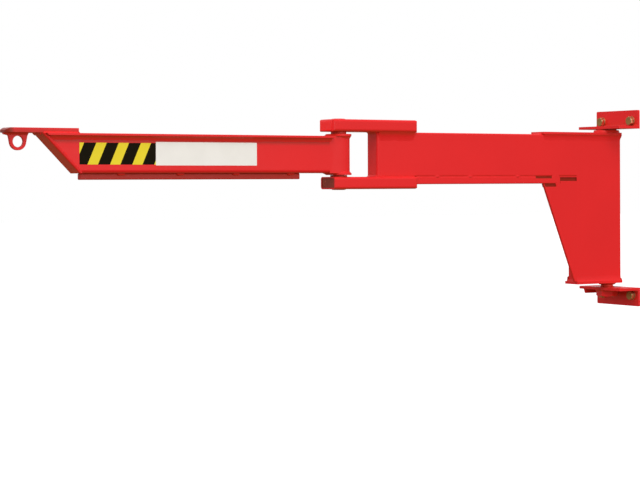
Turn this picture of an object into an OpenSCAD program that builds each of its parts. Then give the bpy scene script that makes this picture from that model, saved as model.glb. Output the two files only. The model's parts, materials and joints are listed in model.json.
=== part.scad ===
// Articulated wall-mounted jib crane.
// Two angle brackets bolt to a wall and carry upright pins. A mast turns on the
// pins and carries a box beam with a bar along its underside and a fork at its
// end. A second arm, a box section with a wide cover strip, a slanting end
// plate and a lifting eye, turns on the pin in that fork.
// Units mm, +Z up. The wall is the plane X = 0 and both arms reach along -X.
// The origin is on the wall face of the lower bracket, in the middle of its leg.

/* [Wall brackets] */
// Width of both brackets along the wall
bracket_w = 184; // [178:2:230]
// Height of the leg that lies on the wall
bracket_leg_h = 55; // [50:1:70]
// Distance the level leg stands out from the wall
bracket_depth = 80; // [78:1:100]
// Thickness of the angle
bracket_t = 8; // [6:0.5:10]
// Fillet radius in the angle's inner corner
bracket_fillet = 6; // [4:0.5:8]
// Distance between the bolts of one bracket
bolt_pitch = 130; // [120:2:140]
// Distance of the bolts from the middle of the leg, toward the level leg
bolt_shift = 4.5; // [0:0.5:5]
// Height from the middle of the lower bracket to the middle of the upper one
bracket_rise = 524; // [510:1:560]
// Bolt hole diameter
bolt_hole_d = 18; // [14:0.5:20]
// Distance of the slew axis from the wall
slew_off = 49; // [49:1:54]
// Width across flats of the nut under the lower bracket
nut_af = 55; // [46:1:60]
// Height of the nut under the lower bracket
nut_h = 19.5; // [14:0.5:26]
// Height of the rib under the lower bracket
rib_h = 13; // [8:1:20]
// Thickness of the rib under the lower bracket
rib_t = 8; // [5:0.5:10]

/* [Pins and bushes] */
// Diameter of the slew pins
pin_d = 25; // [20:1:26]
// Diameter of the thrust collar on the lower slew pin
collar_d = 36; // [34:1:42]
// Diameter of the elbow pin
elbow_pin_d = 30; // [24:1:32]
// Radial gap between a pin and its bush
run_gap = 0.05; // [0.02:0.01:0.09]
// Wall thickness of the bronze bushes
bush_t = 3; // [2:0.5:3.5]

/* [Mast] */
// Depth of the post along the arm
post_l = 164; // [150:2:170]
// Width of the post across the arm
post_w = 50; // [50:1:54]
// Wall thickness of the post
post_t = 4; // [3:0.5:4]
// Thickness of the side gusset
gusset_t = 8; // [5:0.5:10]
// Reach of the side gusset in front of the slew axis
gusset_reach = 264; // [250:2:290]
// Foot of the side gusset in front of the slew axis
gusset_foot = 143.5; // [142:0.5:155]
// Width of the top and bottom plates
end_plate_w = 60; // [56:1:64]
// Thickness of the top plate
top_plate_t = 7; // [5:0.5:8]
// Thickness of the bottom plate
bottom_plate_t = 8; // [5:0.5:10]

/* [Inner arm] */
// Distance between the slew axis and the elbow axis
inner_reach = 948.5; // [850:0.5:1300]
// Height of the box beam
box_h = 122; // [116:1:130]
// Width of the box beam
box_w = 50; // [50:1:54]
// Wall thickness of the box beam
box_t = 4; // [3:0.5:5]
// Height of the bar under the box beam
inner_bar_h = 21; // [14:0.5:24]
// Width of the fork tubes
fork_w = 70; // [66:1:84]
// Height of the fork tubes
fork_h = 33.5; // [28:0.5:40]
// Length of the fork tubes
fork_l = 273.5; // [240:0.5:300]

/* [Outer arm] */
// Distance between the elbow axis and the lifting eye
outer_reach = 933; // [800:1:1300]
// Width of the box section
outer_w = 56; // [50:1:58]
// Wall thickness of the box section
outer_t = 4; // [3:0.5:5]
// Width of the cover strip on top of the box section
strip_w = 76; // [60:1:76]
// Thickness of the cover strip
strip_t = 6; // [4:0.5:8]
// Outer diameter of the hub tube
hub_d = 60.3; // [60:0.1:62]
// Diameter of the hub's end discs
disc_d = 70; // [66:1:74]
// Width of the bar under the box section
outer_bar_w = 14; // [10:1:30]
// Height of the bar under the box section
outer_bar_h = 16; // [8:0.5:16]
// Thickness of the slanting end plate
tip_plate_t = 6; // [4:0.5:8]
// Width of the flat bar on the tip
tip_bar_w = 50; // [40:1:56]
// Thickness of the flat bar on the tip
tip_bar_t = 12.5; // [8:0.5:14]
// Diameter of the lifting eye's hole
eye_d = 28; // [22:1:30]
// Thickness of the lifting eye
eye_t = 9; // [6:0.5:12]
// Radius of the corners at the tip of the flat bar
tip_corner = 12; // [4:1:20]

/* [Hidden] */
$fn = 64;
eps = 0.01;
// radius of the brackets' free corners
bracket_corner = 4;
// gap between a thrust washer and the part that turns on it
thrust = 0.4;
// faces of the brackets
low_top = bracket_leg_h / 2;
low_under = low_top - bracket_t;
up_under = bracket_rise - bracket_leg_h / 2;
up_top = up_under + bracket_t;
// mast levels
collar_low_z = low_top + 7.5;
bottom_plate_z = collar_low_z + 5;
post_z0 = bottom_plate_z + bottom_plate_t;
housing_h = 7.7;
top_plate_z = up_under - 3.3 - housing_h - top_plate_t;
post_z1 = top_plate_z;
housing_z = top_plate_z + top_plate_t;
post_h = post_z1 - post_z0;
// outer corner radii of the box beam and of the fork tubes
box_r = 4.5;
fork_r = 7.5;
// outer corner radius of the outer box section
outer_r = 9;
post_back = -34.5;
post_front = post_back + post_l;
// back corners of the end plates, rounded so that they swing clear of the wall
plate_corner = 8;
// inner beam levels
box_z1 = post_z1;
box_z0 = box_z1 - box_h;
bar_z0 = box_z0 - inner_bar_h;
bar_end = post_front + 69;
box_end = inner_reach - 109;
fork_end = inner_reach + 35;
fork_start = fork_end - fork_l;
// outer arm levels
top_disc_t = 6;
low_disc_t = 5;
beam_z1 = box_z1 - 6.3 - top_disc_t;
beam_z0 = box_z0 + 5 + low_disc_t;
beam_h = beam_z1 - beam_z0;
strip_z = beam_z1 - strip_t;
eye_s = inner_reach + outer_reach;
tip_end = eye_s + 39.5;
cut_top = eye_s - 53;
cut_low = cut_top - beam_h;
eye_r = eye_d / 2 + 7.5;
eye_z = beam_z1 - eye_r;
// height of the eye's centre under the flat bar, and half width of its root
eye_drop = beam_z1 - eye_z;
eye_root = eye_r + 4.5;
bush_od = pin_d + 2 * run_gap + 2 * bush_t;
elbow_bush_od = elbow_pin_d + 2 * run_gap + 2 * bush_t;
housing_od = 40;
RED = [0.80, 0.10, 0.11];
STEEL = [0.62, 0.63, 0.65];
BRONZE = [0.72, 0.53, 0.28];

// s runs from the slew axis toward the tip; X = -(s + slew_off)
module at_s(s, z = 0) { translate([-(s + slew_off), 0, z]) children(); }

// block between s0 and s1, centred across the arm
module block_s(s0, s1, w, z0, z1) {
  translate([-(s1 + slew_off), -w / 2, z0]) cube([s1 - s0, w, z1 - z0]);
}

// rectangle with rounded corners, centred
module round_rect(w, h, r) {
  square([w - 2 * r, h], center = true);
  square([w, h - 2 * r], center = true);
  for (x = [-1, 1], y = [-1, 1])
    translate([x * (w / 2 - r), y * (h / 2 - r)]) circle(r = r);
}

// what a round edge of radius r takes off a square corner at the origin
module corner_cut(r) {
  difference() {
    translate([-r, -r]) square([r + 1, r + 1]);
    translate([-r, -r]) circle(r = r);
  }
}

// what round edges take off the end of a bar whose end face is at x = 0:
// its two upright edges, or one level edge at height z
module side_edges_cut(w, h, r) {
  for (m = [0, 1]) mirror([0, m, 0]) translate([0, w / 2, 0])
    linear_extrude(height = h, center = true) corner_cut(r);
}
module level_edge_cut(w, z, r) {
  mirror([0, 0, z < 0 ? 1 : 0]) translate([0, 0, abs(z)])
    rotate([90, 0, 0]) linear_extrude(height = w, center = true) corner_cut(r);
}

// level rectangular tube running along the arm, wall t
module tube_s(s0, s1, w, z0, z1, t, r) {
  h = z1 - z0;
  translate([-(s0 + slew_off), 0, (z0 + z1) / 2])
    rotate([90, 0, -90]) linear_extrude(height = s1 - s0)
      difference() {
        round_rect(w, h, r);
        round_rect(w - 2 * t, h - 2 * t, max(r - t, 1));
      }
}

// plate cut from an outline in the plane of the arm: points are [s, z]
module side_outline(pts, y0, t) {
  translate([-slew_off, y0 + t, 0]) rotate([90, 0, 0])
    linear_extrude(height = t) polygon([for (p = pts) [-p[0], p[1]]]);
}

module ring_s(s, z, h, od, id) {
  difference() {
    at_s(s, z) cylinder(h = h, d = od);
    at_s(s, z - 1) cylinder(h = h + 2, d = id);
  }
}

// angle section seen from the side, with its level leg on top
module angle_section(depth, leg, t, rf) {
  difference() {
    union() {
      translate([-depth, leg - t]) square([depth, t]);
      translate([-t, 0]) square([t, leg]);
      translate([-t - rf, leg - t - rf]) square([rf + eps, rf + eps]);
    }
    translate([-t - rf, leg - t - rf]) circle(r = rf);
  }
}

module bolt_holes(z) {
  for (y = [-1, 1]) translate([1, y * bolt_pitch / 2, z]) rotate([0, -90, 0])
    cylinder(h = bracket_t + 2, d = bolt_hole_d);
}

// bracket with its level leg on top, the free corners of both legs rounded
module bracket_angle() {
  difference() {
    translate([0, bracket_w / 2, -bracket_leg_h / 2]) rotate([90, 0, 0])
      linear_extrude(height = bracket_w) angle_section(bracket_depth, bracket_leg_h, bracket_t, bracket_fillet);
    for (m = [0, 1]) mirror([0, m, 0]) {
      translate([-bracket_t - 1, bracket_w / 2, -bracket_leg_h / 2]) rotate([90, 0, 90])
        linear_extrude(height = bracket_t + 2) mirror([0, 1]) corner_cut(bracket_corner);
      translate([-bracket_depth, bracket_w / 2, low_under - 1])
        linear_extrude(height = bracket_t + 2) mirror([1, 0]) corner_cut(bracket_corner);
    }
    bolt_holes(bolt_shift);
    at_s(0, low_under - 1) cylinder(h = bracket_t + 2, d = pin_d + 0.1);
  }
}
module lower_bracket_angle() { color(RED) bracket_angle(); }
module upper_bracket_angle() { color(RED) translate([0, 0, bracket_rise]) mirror([0, 0, 1]) bracket_angle(); }

module bracket_rib(y) {
  x0 = -bracket_t - bracket_fillet;
  translate([0, y + rib_t / 2, 0]) rotate([90, 0, 0]) linear_extrude(height = rib_t)
    polygon([[x0, low_under], [x0, low_under - rib_h], [4 - bracket_depth + 4, low_under - rib_h], [4 - bracket_depth, low_under]]);
}
module lower_bracket_rib() { color(RED) bracket_rib(bracket_w / 2 - 21); }

// hexagon nut with chamfered lower corners, welded to the bracket
module lower_pin_nut() {
  color(RED) difference() {
    intersection() {
      at_s(0, low_under - nut_h) rotate([0, 0, 19]) cylinder(h = nut_h, d = nut_af / cos(30), $fn = 6);
      at_s(0, low_under - nut_h) cylinder(h = nut_h, d1 = nut_af, d2 = nut_af + 2 * nut_h / tan(30));
    }
    at_s(0, low_under - nut_h - 1) cylinder(h = nut_h + 2, d = pin_d + 0.1);
  }
}

// through the nut and the plate, with a chamfered top
module lower_slew_pin() {
  l = nut_h - 1 + bracket_t + 60;
  color(STEEL) at_s(0, low_under - nut_h + 1) {
    cylinder(h = l, d = pin_d);
    translate([0, 0, l - eps]) cylinder(h = 2, d1 = pin_d, d2 = pin_d - 4);
  }
}
module lower_thrust_collar() {
  color(RED) ring_s(0, low_top, collar_low_z - low_top - thrust, collar_d, pin_d + 0.1);
}

module upper_slew_pin() {
  color(STEEL) at_s(0, up_top) mirror([0, 0, 1]) {
    cylinder(h = 66, d = pin_d);
    translate([0, 0, 66 - eps]) cylinder(h = 2, d1 = pin_d, d2 = pin_d - 4);
  }
}

module upper_thrust_washer() {
  z = housing_z + housing_h + thrust;
  color(RED) ring_s(0, z, up_under - z, 60, pin_d + 0.1);
}

module mast_post() {
  color(RED) at_s((post_front + post_back) / 2, post_z0)
    linear_extrude(height = post_h) difference() {
      round_rect(post_l, post_w, 6);
      round_rect(post_l - 2 * post_t, post_w - 2 * post_t, 2);
    }
}

// side gusset: flush with the post's side, with a relief under the beam and
// another under the bar
relief = 9;
// the slanting edge meets the bar at edge_top, edge_k is its slope
edge_top = gusset_reach - 4.6;
edge_k = (edge_top - gusset_foot) / (bar_z0 - post_z0);
gusset_pts = [
  [post_front, post_z0], [gusset_foot, post_z0],
  [edge_top, bar_z0], [edge_top - 2.5, bar_z0], [edge_top - 2.5 - edge_k * relief, bar_z0 - relief],
  [bar_end + 14, bar_z0 - relief], [bar_end + 14, bar_z0],
  [bar_end - 1, bar_z0], [bar_end - 1, box_z0 - 13.5], [post_front + 4, box_z0 - 13.5],
  [post_front + 4, box_z0], [post_front, box_z0]
];
module mast_side_gusset() { color(RED) side_outline(gusset_pts, -post_w / 2, gusset_t); }

module mast_inner_gusset() {
  color(RED) side_outline([
    [post_front, post_z0 + 45], [gusset_foot - 26 + edge_k * 45, post_z0 + 45],
    [edge_top - 26, bar_z0], [bar_end - 1, bar_z0], [bar_end - 1, box_z0], [post_front, box_z0]
  ], 2, gusset_t);
}

// rectangle between s0 and s1 with corner radius r0 at s0 and r1 at s1
module plate_outline(s0, s1, w, r0, r1) {
  translate([-slew_off, 0]) {
    translate([-(s1 - r1), -w / 2]) square([s1 - r1 - s0 - r0, w]);
    translate([-(s0 + r0) - eps, -w / 2 + r0]) square([r0 + eps, w - 2 * r0]);
    translate([-s1, -w / 2 + r1]) square([r1 + eps, w - 2 * r1]);
    for (y = [-1, 1]) {
      translate([-(s0 + r0), y * (w / 2 - r0)]) circle(r = r0);
      translate([-(s1 - r1), y * (w / 2 - r1)]) circle(r = r1);
    }
  }
}
module mast_top_plate() {
  color(RED) translate([0, 0, top_plate_z]) linear_extrude(height = top_plate_t) difference() {
    plate_outline(post_back - 3.7, gusset_reach - 1.5, end_plate_w, plate_corner, 3);
    translate([-slew_off, 0]) circle(d = housing_od + 0.1);
  }
}
module mast_bottom_plate() {
  color(RED) translate([0, 0, bottom_plate_z]) linear_extrude(height = bottom_plate_t) difference() {
    plate_outline(post_back - 3.7, post_front + 7.5, end_plate_w, plate_corner, 3);
    translate([-slew_off, 0]) circle(d = housing_od + 0.1);
  }
}

// flanged bearing housings, welded into the mast's end plates
module upper_bearing_housing() {
  color(RED) difference() {
    at_s(0, housing_z) union() {
      cylinder(h = housing_h, d1 = 78, d2 = 73);
      translate([0, 0, -50]) cylinder(h = 50 + eps, d = housing_od);
    }
    at_s(0, housing_z - 60) cylinder(h = 80, d = bush_od + 0.04);
  }
}
module lower_bearing_housing() {
  color(RED) difference() {
    at_s(0, collar_low_z) union() {
      cylinder(h = bottom_plate_z - collar_low_z, d1 = 45, d2 = 55);
      translate([0, 0, bottom_plate_z - collar_low_z - eps]) cylinder(h = 50, d = housing_od);
    }
    at_s(0, collar_low_z - 1) cylinder(h = 80, d = bush_od + 0.04);
  }
}
module upper_slew_bush() { color(BRONZE) ring_s(0, housing_z - 49, 49 + housing_h, bush_od, pin_d + 2 * run_gap); }
module lower_slew_bush() { color(BRONZE) ring_s(0, collar_low_z, 54, bush_od, pin_d + 2 * run_gap); }

module inner_beam() { color(RED) tube_s(post_front, box_end - 6, box_w, box_z0, box_z1, box_t, box_r); }
module inner_beam_end_cap() {
  color(RED) difference() {
    translate([-(box_end - 6 + slew_off), 0, (box_z0 + box_z1) / 2]) rotate([90, 0, -90])
      linear_extrude(height = 6) round_rect(box_w, box_h, box_r);
    translate([-(box_end + slew_off), 0, (box_z0 + box_z1) / 2]) mirror([1, 0, 0])
      side_edges_cut(box_w, box_h + 2, 5);
  }
}
module inner_bar() { color(RED) tube_s(bar_end, fork_start, box_w, bar_z0, box_z0, 4, 3); }

cap_t = 9;
cap_edge = 8;
upper_end = fork_end - 3.5;
module fork_tube(z0, s1) {
  color(RED) difference() {
    tube_s(fork_start + cap_t, s1, fork_w, z0, z0 + fork_h, 4, fork_r);
    at_s(inner_reach, z0 - 1) cylinder(h = fork_h + 2, d = elbow_pin_d + 0.1);
  }
}
// the rear caps and the upper front cap close the tubes' ends, the lower front
// cap sits 1.5 mm inside its tube
module fork_rear_cap(z0, side) {
  color(RED) translate([-(fork_start + slew_off), 0, z0 + fork_h / 2]) difference() {
    rotate([90, 0, -90]) linear_extrude(height = cap_t) round_rect(fork_w, fork_h, fork_r);
    side_edges_cut(fork_w, fork_h + 2, cap_edge);
    level_edge_cut(fork_w + 2, side * fork_h / 2, cap_edge);
  }
}
module fork_front_cap(z0) {
  color(RED) translate([-(fork_end - 5.5 + slew_off), 0, z0 + fork_h / 2]) rotate([90, 0, -90])
    linear_extrude(height = 4) round_rect(fork_w - 8, fork_h - 8, fork_r - 4);
}
module fork_upper_tube() { fork_tube(box_z1, upper_end); }
module fork_lower_tube() { fork_tube(box_z0 - fork_h, fork_end); }
module fork_upper_front_cap() {
  color(RED) translate([-(upper_end + slew_off), 0, box_z1 + fork_h / 2]) difference() {
    rotate([90, 0, -90]) linear_extrude(height = 10) round_rect(fork_w, fork_h, fork_r);
    translate([-10, 0, 0]) mirror([1, 0, 0]) {
      side_edges_cut(fork_w, fork_h + 2, 9);
      level_edge_cut(fork_w + 2, fork_h / 2, 9);
      level_edge_cut(fork_w + 2, -fork_h / 2, 5);
    }
  }
}
module fork_upper_rear_cap() { fork_rear_cap(box_z1, 1); }
module fork_lower_front_cap() { fork_front_cap(box_z0 - fork_h); }
module fork_lower_rear_cap() { fork_rear_cap(box_z0 - fork_h, -1); }

module elbow_pin() {
  color(STEEL) at_s(inner_reach, box_z0 - fork_h - 2) cylinder(h = box_h + 2 * fork_h + 4, d = elbow_pin_d);
}
module elbow_upper_washer() {
  z = beam_z1 + top_disc_t + thrust;
  color(RED) ring_s(inner_reach, z, box_z1 - z, 42, elbow_pin_d + 0.1);
}
module elbow_lower_washer() {
  color(RED) ring_s(inner_reach, box_z0, beam_z0 - low_disc_t - thrust - box_z0, 46, elbow_pin_d + 0.1);
}

module hub_tube() { color(RED) ring_s(inner_reach, beam_z0, beam_h, hub_d, elbow_bush_od + 0.04); }
module hub_top_disc() { color(RED) ring_s(inner_reach, beam_z1, top_disc_t, disc_d, elbow_bush_od + 0.04); }
module hub_bottom_disc() { color(RED) ring_s(inner_reach, beam_z0 - low_disc_t, low_disc_t, disc_d, elbow_bush_od + 0.04); }
module hub_upper_bush() { color(BRONZE) ring_s(inner_reach, beam_z1 + top_disc_t - 38, 38, elbow_bush_od, elbow_pin_d + 2 * run_gap); }
module hub_lower_bush() { color(BRONZE) ring_s(inner_reach, beam_z0 - low_disc_t, 38, elbow_bush_od, elbow_pin_d + 2 * run_gap); }

// everything beyond the inner face of the slanting end plate
module beyond_tip() {
  translate([-(cut_low - tip_plate_t * sqrt(2) + slew_off), -60, beam_z0]) rotate([0, -45, 0])
    translate([-400, 0, -200]) cube([400, 120, 600]);
}
module outer_beam() {
  color(RED) difference() {
    tube_s(inner_reach, cut_top, outer_w, beam_z0, strip_z, outer_t, outer_r);
    at_s(inner_reach, beam_z0 - 1) cylinder(h = beam_h + 2, d = hub_d + 0.1);
    beyond_tip();
  }
}
module outer_cover_strip() {
  color(RED) difference() {
    block_s(inner_reach + disc_d / 2, cut_top, strip_w, strip_z, beam_z1);
    beyond_tip();
  }
}
module tip_end_plate() {
  d = tip_plate_t * sqrt(2);
  color(RED) difference() {
    side_outline([
      [cut_low - d, beam_z0], [cut_top - d, beam_z1], [cut_top, beam_z1], [cut_low, beam_z0]
    ], -outer_w / 2 - 1, outer_w + 2);
    translate([-((cut_low + cut_top) / 2 + slew_off), 0, (beam_z0 + beam_z1) / 2]) rotate([0, 135, 0])
      side_edges_cut(outer_w + 2, 3 * beam_h, 4.5);
  }
}
module outer_bar() { color(RED) block_s(inner_reach + 127.5, cut_low - 10, outer_bar_w, beam_z0 - outer_bar_h, beam_z0); }
// flat bar with round corners and a bevelled top edge at the tip
module tip_top_bar() {
  color(RED) difference() {
    translate([0, 0, beam_z1]) linear_extrude(height = tip_bar_t)
      plate_outline(cut_low - 1, tip_end, tip_bar_w, 2, tip_corner);
    side_outline([
      [tip_end - 12, beam_z1 + tip_bar_t], [tip_end + 1, beam_z1 + tip_bar_t - 6],
      [tip_end + 1, beam_z1 + tip_bar_t + 1], [tip_end - 12, beam_z1 + tip_bar_t + 1]
    ], -tip_bar_w, 2 * tip_bar_w);
  }
}

// lug with sides that taper into a round end, and a shallow web toward the tip
module lifting_eye() {
  d = sqrt(eye_root * eye_root + eye_drop * eye_drop);
  a = atan2(eye_drop, eye_root) - acos(eye_r / d);
  tx = eye_r * cos(a);
  tz = eye_r * sin(a);
  web_l = tip_end - eye_s;
  color(RED) translate([-(eye_s + slew_off), eye_t / 2, 0]) rotate([90, 0, 0]) linear_extrude(height = eye_t) difference() {
    union() {
      translate([0, eye_z]) circle(r = eye_r);
      translate([0, eye_z]) polygon([[eye_root, eye_drop], [-eye_root, eye_drop], [-tx, tz], [tx, tz]]);
      polygon([[-10, beam_z1], [1.5 - web_l, beam_z1], [1.5 - web_l, beam_z1 - 3.5], [14 - web_l, beam_z1 - 6.5], [-10, beam_z1 - 6.5]]);
    }
    translate([0, eye_z]) circle(d = eye_d);
  }
}

upper_bracket_angle();
lower_bracket_angle();
lower_bracket_rib();
lower_pin_nut();
upper_slew_pin();
upper_thrust_washer();
lower_slew_pin();
lower_thrust_collar();
mast_post();
mast_side_gusset();
mast_inner_gusset();
mast_top_plate();
mast_bottom_plate();
upper_bearing_housing();
lower_bearing_housing();
upper_slew_bush();
lower_slew_bush();
inner_beam();
inner_beam_end_cap();
inner_bar();
fork_upper_tube();
fork_lower_tube();
fork_upper_front_cap();
fork_upper_rear_cap();
fork_lower_front_cap();
fork_lower_rear_cap();
elbow_pin();
elbow_upper_washer();
elbow_lower_washer();
hub_tube();
hub_top_disc();
hub_bottom_disc();
hub_upper_bush();
hub_lower_bush();
outer_beam();
outer_cover_strip();
outer_bar();
tip_end_plate();
tip_top_bar();
lifting_eye();
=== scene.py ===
import json
import math
import random

import bmesh
import bpy
from mathutils import Matrix, Vector


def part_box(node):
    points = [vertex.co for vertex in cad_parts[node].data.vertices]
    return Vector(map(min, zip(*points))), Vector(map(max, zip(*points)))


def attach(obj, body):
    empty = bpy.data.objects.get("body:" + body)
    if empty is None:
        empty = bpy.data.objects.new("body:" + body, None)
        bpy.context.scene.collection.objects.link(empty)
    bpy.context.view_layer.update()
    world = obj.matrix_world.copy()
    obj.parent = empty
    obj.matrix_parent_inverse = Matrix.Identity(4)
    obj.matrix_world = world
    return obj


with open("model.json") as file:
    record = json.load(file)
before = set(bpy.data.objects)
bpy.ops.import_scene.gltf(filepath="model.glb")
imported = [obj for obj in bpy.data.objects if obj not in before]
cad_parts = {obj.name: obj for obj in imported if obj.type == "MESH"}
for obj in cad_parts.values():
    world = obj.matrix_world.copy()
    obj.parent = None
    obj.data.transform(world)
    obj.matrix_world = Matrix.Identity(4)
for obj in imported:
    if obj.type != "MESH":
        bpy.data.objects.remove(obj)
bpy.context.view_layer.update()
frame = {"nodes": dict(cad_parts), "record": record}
nodes = frame["nodes"]
scene = bpy.context.scene

# ---------------------------------------------------------------- helpers
MM = 0.001


def face(node, axis, high):
    """One coordinate of a CAD node's box, in metres."""
    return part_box(node)[1 if high else 0][axis]


SLEW_X = (face("lower_slew_pin", 0, True) + face("lower_slew_pin", 0, False)) / 2
ELBOW_X = (face("elbow_pin", 0, True) + face("elbow_pin", 0, False)) / 2
OFF = -SLEW_X / MM                       # wall to slew axis, mm


def P(s, y, z):
    """Point from mm: s along the straight arms from the slew axis, y along the wall, z up."""
    return Vector((-(s + OFF) * MM, y * MM, z * MM))


def S(x):
    return -x / MM - OFF


X_OUT = Vector((-1, 0, 0))               # toward the tip
X_IN = Vector((1, 0, 0))                 # toward the wall
NEAR = Vector((0, -1, 0))
FAR = Vector((0, 1, 0))
UP = Vector((0, 0, 1))
DOWN = Vector((0, 0, -1))


def node(tree, kind, **sockets):
    n = tree.nodes.new(kind)
    for k, v in sockets.items():
        n.inputs[k.replace("_", " ")].default_value = v
    return n


# -------------------------------------------------------------- materials
def coord(t):
    return t.nodes.new("ShaderNodeTexCoord").outputs["Object"]


def noise(t, vec, scale, detail=3.0, rough=0.55):
    n = t.nodes.new("ShaderNodeTexNoise")
    n.inputs["Scale"].default_value = scale
    n.inputs["Detail"].default_value = detail
    n.inputs["Roughness"].default_value = rough
    t.links.new(vec, n.inputs["Vector"])
    return n.outputs["Fac"]


def remap(t, value, a, b, c, d):
    n = t.nodes.new("ShaderNodeMapRange")
    n.inputs["From Min"].default_value = a
    n.inputs["From Max"].default_value = b
    n.inputs["To Min"].default_value = c
    n.inputs["To Max"].default_value = d
    t.links.new(value, n.inputs["Value"])
    return n.outputs["Result"]


def mix(t, fac, a, b):
    n = t.nodes.new("ShaderNodeMix")
    n.data_type = "RGBA"
    if isinstance(fac, float):
        n.inputs[0].default_value = fac
    else:
        t.links.new(fac, n.inputs[0])
    for sock, v in ((n.inputs[6], a), (n.inputs[7], b)):
        if isinstance(v, (tuple, list)):
            sock.default_value = (*v, 1)
        else:
            t.links.new(v, sock)
    return n.outputs[2]


def bump(t, height, strength, distance, normal=None):
    n = t.nodes.new("ShaderNodeBump")
    n.inputs["Strength"].default_value = strength
    n.inputs["Distance"].default_value = distance
    t.links.new(height, n.inputs["Height"])
    if normal is not None:
        t.links.new(normal, n.inputs["Normal"])
    return n.outputs["Normal"]


def fresh(name):
    m = bpy.data.materials.new(name)
    m.use_nodes = True
    t = m.node_tree
    for n in list(t.nodes):
        t.nodes.remove(n)
    out = t.nodes.new("ShaderNodeOutputMaterial")
    b = t.nodes.new("ShaderNodeBsdfPrincipled")
    t.links.new(b.outputs[0], out.inputs[0])
    return m, t, b


def paint(name, light, dark, peel=0.12, grit=0.0, ends=None, speck=None, spec=0.17, shade=None, left=None, under_shade_at=(-0.3, -0.8)):
    """Powder coat: soft colour drift, painted shade in the crevices and on faces that look down, orange peel, a thin
    gloss coat.
    """
    m, t, b = fresh(name)
    v = coord(t)
    drift = remap(t, noise(t, v, 4.0, 2.0), 0.3, 0.7, 0.0, 1.0)
    fine = remap(t, noise(t, v, 60.0, 4.0), 0.3, 0.7, 0.0, 0.5)
    col = mix(t, drift, light, tuple(c * 0.93 for c in light))
    col = mix(t, fine, col, tuple(c * 0.96 for c in light))
    # painted shade: ambient occlusion darkens the colour in crevices and corners
    ao = t.nodes.new("ShaderNodeAmbientOcclusion")
    ao.samples = 6
    ao.inputs["Distance"].default_value = 0.04
    crevice = remap(t, ao.outputs["AO"], 0.10, 0.80, 0.9, 0.0)
    col = mix(t, crevice, col, dark)
    geo = t.nodes.new("ShaderNodeNewGeometry")
    sz = t.nodes.new("ShaderNodeSeparateXYZ")
    t.links.new(geo.outputs["Normal"], sz.inputs[0])
    if left:
        # painted light: the faces that look toward the tip are brightened toward this colour
        col = mix(t, remap(t, sz.outputs["X"], -0.80, -0.97, 0.0, 1.0), col, left)
    # painted shade: faces that look down turn toward the dark colour
    under = remap(t, sz.outputs["Z"], *under_shade_at, 0.0, 0.8)
    col = mix(t, under, col, dark)
    if shade:
        # painted shade: the colour darkens from the first height to the second
        sh = t.nodes.new("ShaderNodeSeparateXYZ")
        t.links.new(v, sh.inputs[0])
        col = mix(t, remap(t, sh.outputs["Z"], shade[0], shade[1], 0.0, 0.72), col, shade[2])
    if speck:
        # thin patches where the coat did not reach
        col = mix(t, remap(t, noise(t, v, 150.0, 4.0, 0.7), 0.56, 0.70, 0.0, 0.8), col, speck)
    if ends:
        # darker toward the outer end of the bar, by place along it
        sx = t.nodes.new("ShaderNodeSeparateXYZ")
        t.links.new(v, sx.inputs[0])
        wob = remap(t, noise(t, v, 90.0, 3.0), 0.3, 0.7, -0.003, 0.003)
        add = t.nodes.new("ShaderNodeMath")
        add.operation = "ADD"
        t.links.new(sx.outputs["X"], add.inputs[0])
        t.links.new(wob, add.inputs[1])
        col = mix(t, remap(t, add.outputs[0], ends[0], ends[1], 0.75, 0.0), col, (0.16, 0.020, 0.006))
    t.links.new(col, b.inputs["Base Color"])
    r = remap(t, noise(t, v, 35.0, 3.0), 0.3, 0.7, 0.36, 0.46)
    t.links.new(r, b.inputs["Roughness"])
    b.inputs["Specular IOR Level"].default_value = spec
    b.inputs["Coat Weight"].default_value = 0.03
    b.inputs["Coat Roughness"].default_value = 0.2
    n1 = bump(t, noise(t, v, 620.0, 2.0, 0.4), peel, 0.0003)
    n2 = bump(t, noise(t, v, 14.0, 2.0, 0.5), 0.05, 0.004, n1)
    if grit:
        n2 = bump(t, noise(t, v, 1500.0, 3.0, 0.7), grit, 0.0004, n2)
    t.links.new(n2, b.inputs["Normal"])
    return m


RED = (0.760, 0.0150, 0.0165)
# the dark colour that the painted shade in crevices and on undersides mixes toward
RED_PAINTED_SHADE = (0.56, 0.050, 0.020)
red = paint("red_powder_coat", RED, RED_PAINTED_SHADE)
red_weld = paint("red_powder_coat_on_weld", tuple(c * 0.98 for c in RED), RED_PAINTED_SHADE, peel=0.15, grit=0.03)


def metal(name, a, b_col, rough=(0.25, 0.4), ring=None, scratch=0.05, ends=None):
    m, t, b = fresh(name)
    v = coord(t)
    col = mix(t, remap(t, noise(t, v, 90.0, 5.0), 0.3, 0.7, 0.0, 1.0), a, b_col)
    if ends:
        # painted shade: the faces of the heads that look toward the tip are darker
        geo = t.nodes.new("ShaderNodeNewGeometry")
        sn = t.nodes.new("ShaderNodeSeparateXYZ")
        t.links.new(geo.outputs["Normal"], sn.inputs[0])
        col = mix(t, remap(t, sn.outputs["X"], -0.85, -0.6, 1.0, 0.0), col, ends)
    t.links.new(col, b.inputs["Base Color"])
    b.inputs["Metallic"].default_value = 1.0
    t.links.new(remap(t, noise(t, v, 240.0, 4.0), 0.3, 0.7, *rough), b.inputs["Roughness"])
    h = noise(t, v, 700.0, 3.0)
    nrm = bump(t, h, scratch, 0.0002)
    if ring:
        sep = t.nodes.new("ShaderNodeSeparateXYZ")
        t.links.new(v, sep.inputs[0])
        wave = t.nodes.new("ShaderNodeMath")
        wave.operation = "SINE"
        mul = t.nodes.new("ShaderNodeMath")
        mul.operation = "MULTIPLY"
        mul.inputs[1].default_value = 2 * math.pi / ring
        t.links.new(sep.outputs["Z"], mul.inputs[0])
        t.links.new(mul.outputs[0], wave.inputs[0])
        nrm = bump(t, wave.outputs[0], 0.12, 0.0001, nrm)
    t.links.new(nrm, b.inputs["Normal"])
    return m


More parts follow.
